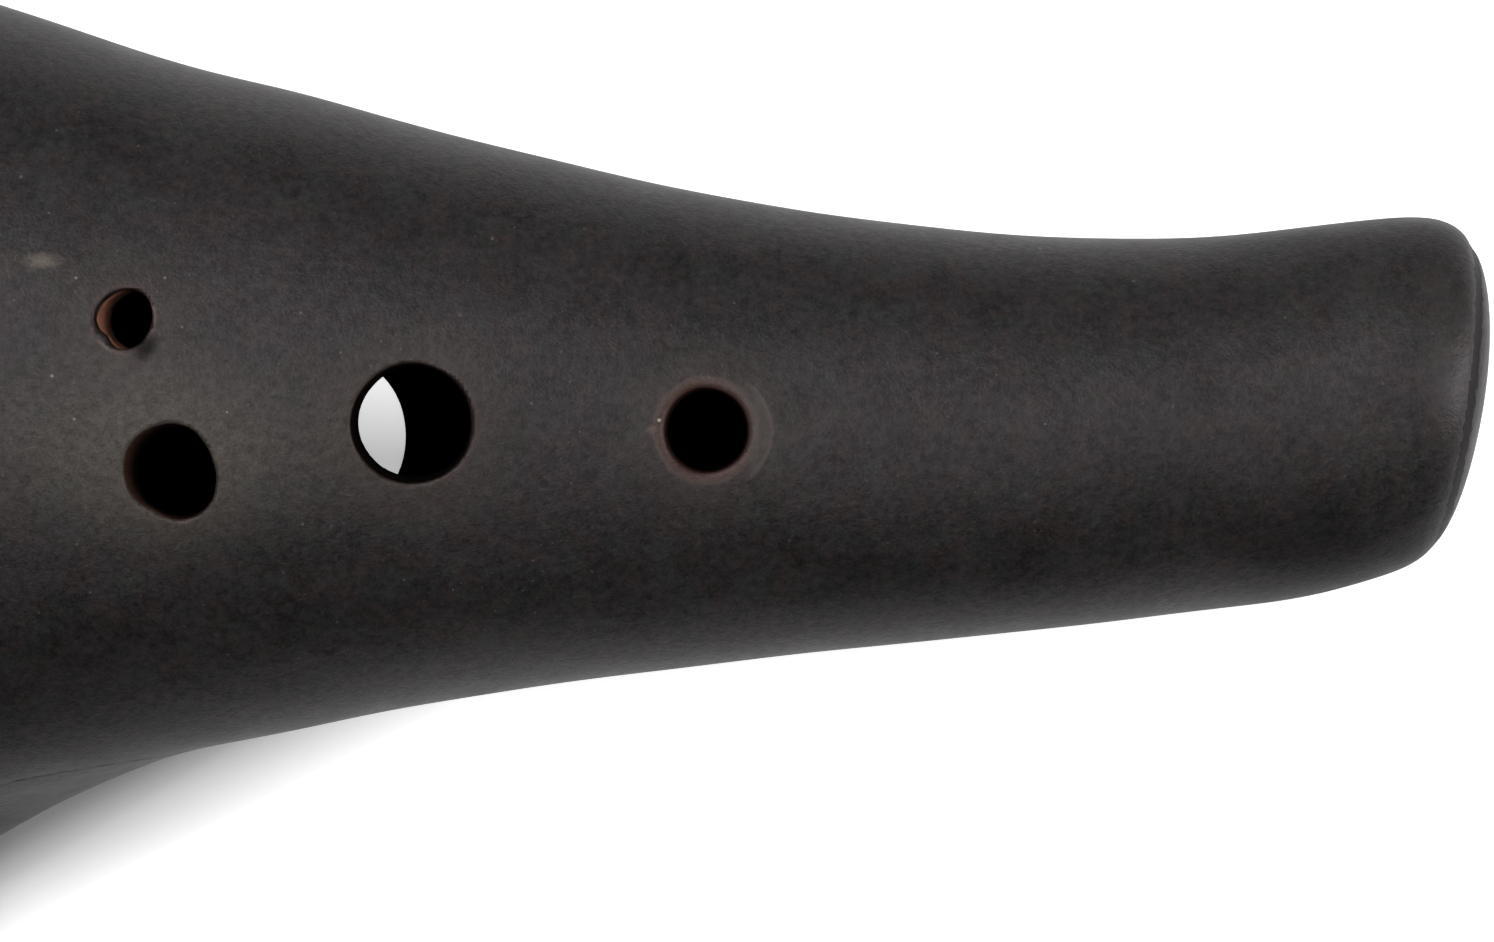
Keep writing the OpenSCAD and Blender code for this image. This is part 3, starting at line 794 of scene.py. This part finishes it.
def mark_face(T, col, spec, grain, depth, wobble):
    skin = T.fade(depth, over=(0.10, 0.5))
    # painted light: a broad pale patch on the face, centred by the hole at x 16
    d = T.add(T.off_center(14.5, -3.0, kx=0.45, ky=1.0), T.swing(T.mid, 7.0))
    painted_face_light = T.mul(T.fade(d, over=(1.0, 10.0)), skin)
    col = T.mix(col, painted_face_light, T.scale((0.050, 0.0465, 0.0375), grain), strength=0.60)
    # a pale smear and its faint tail, on the +y side of the face
    smear = (0.150, 0.128, 0.100)
    d = T.add(T.off_center(6.0, 11.7, kx=0.62, ky=1.35),
              T.swing(T.noise(scale=1.6, detail=3, rough=0.7), 1.1))
    col = T.mix(col, T.fade(d, over=(0.0, 1.25)), smear, strength=0.52)
    d = T.add(T.off_center(4.4, 11.2, kx=0.25, ky=0.8), wobble)
    col = T.mix(col, T.fade(d, over=(0.2, 1.3)), smear, strength=0.05)
    # a lick of slip on the tail side of the hole nearest the tail

    def tail_side():
        return T.mul(T.ramp(T.x, over=(61.6, 62.8)), skin)

    d = T.add(T.off_center(59.25, -1.75), T.mul(wobble, 0.35))
    lick = T.mul(T.fade(d, over=(4.72, 4.98)), tail_side())
    edge = T.mul(T.mul(T.ramp(d, over=(4.45, 4.72)), T.fade(d, over=(4.80, 5.02))), tail_side())
    col = T.mix(col, lick, (0.042, 0.036, 0.032), strength=0.60)
    col = T.mix(col, edge, (0.060, 0.050, 0.042), strength=0.38)
    # painted shade of a small pit beside the small nicked hole, with less shine
    d = T.add(T.off_center(14.15, 4.9, kx=0.80, ky=0.85), T.mul(wobble, 0.6))
    spot = T.mul(T.fade(d, over=(0.25, 1.30)), skin)
    col = T.mix(col, spot, (0.0026, 0.0022, 0.0022), strength=0.80)
    spec = T.mul(spec, T.sub(1.0, T.mul(spot, 0.70)))
    # a brown fleck on the head side of the hole nearest the tail
    d = T.add(T.off_center(54.3, -1.6, kx=1.0, ky=1.4), T.mul(wobble, 0.4))
    col = T.mix(col, T.fade(d, over=(0.1, 0.65)), (0.085, 0.058, 0.052), strength=0.70)
    for x, y, radius, paleness in SPECKS:
        d = T.add(T.off_center(x, y), T.mul(wobble, 0.12))
        col = T.mix(col, T.fade(d, over=(radius * 0.4, radius)), (0.26, 0.23, 0.19),
                    strength=paleness)
    return col, spec


def smoked(name, holes=(), face=False):
    """Smoke-blackened, burnished earthenware, marked round its holes."""
    T = SmokedClay(name)
    col, grain = smoke_color(T)
    col = add_grit(T, col)
    spec = T.add(T.ramp(T.small, over=(0.3, 0.7), to=(0.235, 0.305)),
                 T.ramp(T.mid, over=(0.3, 0.7), to=(-0.03, 0.03)))
    rough = T.ramp(T.mid, over=(0.3, 0.7), to=(0.40, 0.48))
    col, spec = paint_shade_and_highlights(T, col, spec, grain)
    if holes:
        depth = T.node("ShaderNodeAttribute", attribute_name="depth",
                       attribute_type="GEOMETRY").outputs["Fac"]
        wobble = T.swing(T.noise(scale=0.8, detail=3, rough=0.6), 0.9)
        wall = None
        for hole in holes:
            col, inside = mark_hole(T, col, hole, depth, wobble)
            wall = inside if wall is None else T.max(wall, inside)
        # painted shade: the bore's inner skin is near black and has almost no shine
        painted_bore_shade = T.ramp(depth, over=(4.2, 4.9))
        col = T.mix(col, painted_bore_shade, (0.0014, 0.0009, 0.0009))
        spec = T.mul(spec, T.sub(1.0, T.max(painted_bore_shade, T.mul(wall, 0.85)), clamp=True))
        rough = T.max(rough, T.ramp(depth, over=(0.3, 1.0), to=(0.0, 0.95)))
        if face:
            col, spec = mark_face(T, col, spec, grain, depth, wobble)
    height = T.add(T.mul(T.sand, 0.028), T.add(T.mul(T.fine, 0.068), T.mul(T.small, 0.075)))
    return T.finish(col, rough, height, spec)


def fired_slip(name):
    T = Clay(name)
    n = T.noise(scale=1.2, detail=3, rough=0.6)
    col = T.mix((0.0070, 0.0062, 0.0062), T.ramp(n, over=(0.35, 0.7)), (0.0120, 0.0100, 0.0098))
    return T.finish(col, rough=T.ramp(n, over=(0.3, 0.7), to=(0.50, 0.62)),
                    height=T.mul(n, 0.06), spec=T.ramp(n, over=(0.3, 0.7), to=(0.15, 0.21)))


face_clay = smoked("smoked_clay_face", TOP_HOLES, face=True)
belly_clay = smoked("smoked_clay_belly", THUMB_HOLES)
plain_clay = smoked("smoked_clay_plain")
slip = fired_slip("fired_slip")
for name, material, slot in [
        ("upper_shell_clay", face_clay, "clay_black"),
        ("lower_shell_clay", belly_clay, "clay_black_belly"),
        ("tail_plug_clay", plain_clay, "clay_black"),
        ("tail_seam_slip", slip, "slip"),
        ("body_seam_slip", slip, "slip"),
        ("windway_seam_slip", slip, "slip"),
        ("mouthpiece_floor_clay", plain_clay, "clay_black_belly"),
        ("mouthpiece_roof_clay", plain_clay, "clay_black"),
        ("root_fairing_clay", plain_clay, "clay_black"),
        ("labium_clay", plain_clay, "clay_black_belly")]:
    pieces[name].data.materials.append(material)


# ---------------------------------------------------------------- stage, in metres
def to_scene(x, y, z=0):
    """Scene place of body x, y in mm, at height z in metres."""
    return (x - ORIGIN[0]) / 1000, (y - ORIGIN[1]) / 1000, z


def pale_floor():
    """Painted white glow all round a painted soft shadow beside the mouthpiece, on its tail side, and
    a painted pool of light under the nearer thumb hole.
    """
    T = Tree(bpy.data.materials.new("pale_floor"))
    place = T.coordinates()
    x, y, _ = T.split(place)
    away = T.vector("DISTANCE", {0: place, 1: (-0.02, -0.03, 0)})["Value"]

    def outside_shade(slant_over, level, inward_level, smooth):
        slant = T.add(T.mul(x, 6.215), T.mul(y, -10.34))
        mask = T.ramp(slant, slant_over, to=(0.0, level), smooth=smooth)
        mask = T.max(mask, T.ramp(y, over=(-0.022, -0.012), to=(0.0, inward_level)))
        mask = T.max(mask, T.ramp(away, over=(0.065, 0.13), to=(0.0, level)))
        return T.max(mask, T.ramp(x, over=(-0.045, -0.004), to=(level, 0.0)))

    # the floor glows, except in a painted shadow along the clay's lower edge and head
    glow = outside_shade((0.500, 0.590), level=0.60, inward_level=0.44, smooth=False)
    # a painted pool of light, glowing in the floor under the thumb hole nearer the tail
    thumb = to_scene(THUMB_HOLES[0].x, THUMB_HOLES[0].y)
    spot = T.vector("DISTANCE", {0: place, 1: thumb})["Value"]
    painted_light_pool = T.mul(T.fade(spot, over=(0.0078, 0.0092)),
                     T.ramp(y, over=(-0.0050, 0.0018), to=(0.0, 0.37), smooth=False))
    glow = T.add(glow, painted_light_pool)
    # the eye sees all of the glow, the clay about a quarter of it
    seen = T.node("ShaderNodeLightPath").outputs["Is Camera Ray"]
    glow = T.mul(glow, T.math("MULTIPLY_ADD", seen, 0.74, 0.26))
    # far off it fades into the white room, for the eye only
    glow = T.add(glow, T.mul(seen, T.ramp(away, over=(0.35, 1.4), to=(0.0, 0.42))))
    # painted shadow in the floor's own colour too, darker under and beside the clay
    bright = outside_shade((0.460, 0.512), level=1.0, inward_level=1.0, smooth=True)
    shader = T.node("ShaderNodeBsdfPrincipled", {
        "Base Color": T.mix((0.40, 0.39, 0.39), bright, (0.86, 0.86, 0.865)),
        "Roughness": 0.8, "Emission Color": (1, 1, 1, 1), "Emission Strength": glow})
    T.node("ShaderNodeOutputMaterial", {"Surface": shader.outputs[0]})
    return T.owner


floor_mesh = bpy.data.meshes.new("floor")
floor_mesh.from_pydata([(-6, -6, 0), (6, -6, 0), (6, 6, 0), (-6, 6, 0)], [], [(0, 1, 2, 3)])
floor = bpy.data.objects.new("floor", floor_mesh)
bpy.context.scene.collection.objects.link(floor)
floor_mesh.materials.append(pale_floor())

# the room: white to the eye, nearly dark as a light
world = bpy.data.worlds.new("studio")
bpy.context.scene.world = world
room = Tree(world)
lighting, backdrop = (
    room.node("ShaderNodeBackground", {"Color": (1, 1, 1, 1), "Strength": strength}).outputs[0]
    for strength in (0.02, 1.0))
seen = room.node("ShaderNodeLightPath").outputs["Is Camera Ray"]
blend = room.node("ShaderNodeMixShader", {0: seen, 1: lighting, 2: backdrop})
room.node("ShaderNodeOutputWorld", {"Surface": blend.outputs[0]})

LIGHT_AIM = Vector((0.06, 0.0, 0.02))
SOFTBOXES = [  # name, location, width and height, watts
    ("key_softbox", (-0.198, 0.447, 0.991), (0.5, 0.5), 5.7),
    ("top_softbox", (0.06, 0.0, 1.12), (0.5, 0.5), 2.9),
    ("tail_side_softbox", (0.961, 0.0, 0.651), (0.5, 0.5), 4.2),
    ("low_tail_softbox", (1.136, 0.05, 0.30), (0.25, 0.25), 1.7),
    ("far_softbox", (0.06, 0.901, 0.651), (0.5, 0.5), 1.1),
    ("far_right_softbox", (0.318, 0.447, 0.991), (0.5, 0.5), 1.1),
    ("near_softbox", (0.02, -0.447, 0.991), (0.9, 0.5), 1.9)]
for name, location, size, watts in SOFTBOXES:
    light = bpy.data.lights.new(name, "AREA")
    light.shape = "RECTANGLE"
    light.size, light.size_y = size
    light.energy = watts
    softbox = bpy.data.objects.new(name, light)
    bpy.context.scene.collection.objects.link(softbox)
    softbox.location = location
    aim = LIGHT_AIM - Vector(location)
    softbox.rotation_euler = aim.to_track_quat("-Z", "Y").to_euler()
    softbox.visible_camera = False

# the camera looks straight down
lens = bpy.data.cameras.new("camera")
lens.sensor_width = 36
lens.lens = 90.361446
lens.clip_start = 0.01
lens.clip_end = 50
camera = bpy.data.objects.new("camera", lens)
bpy.context.scene.collection.objects.link(camera)
camera.location = to_scene(62, -5, z=0.341)
camera.rotation_euler = (0, 0, 0)
bpy.context.scene.camera = camera
bpy.context.scene.view_settings.view_transform = "Standard"
bpy.context.scene.view_settings.look = "None"

note_size()
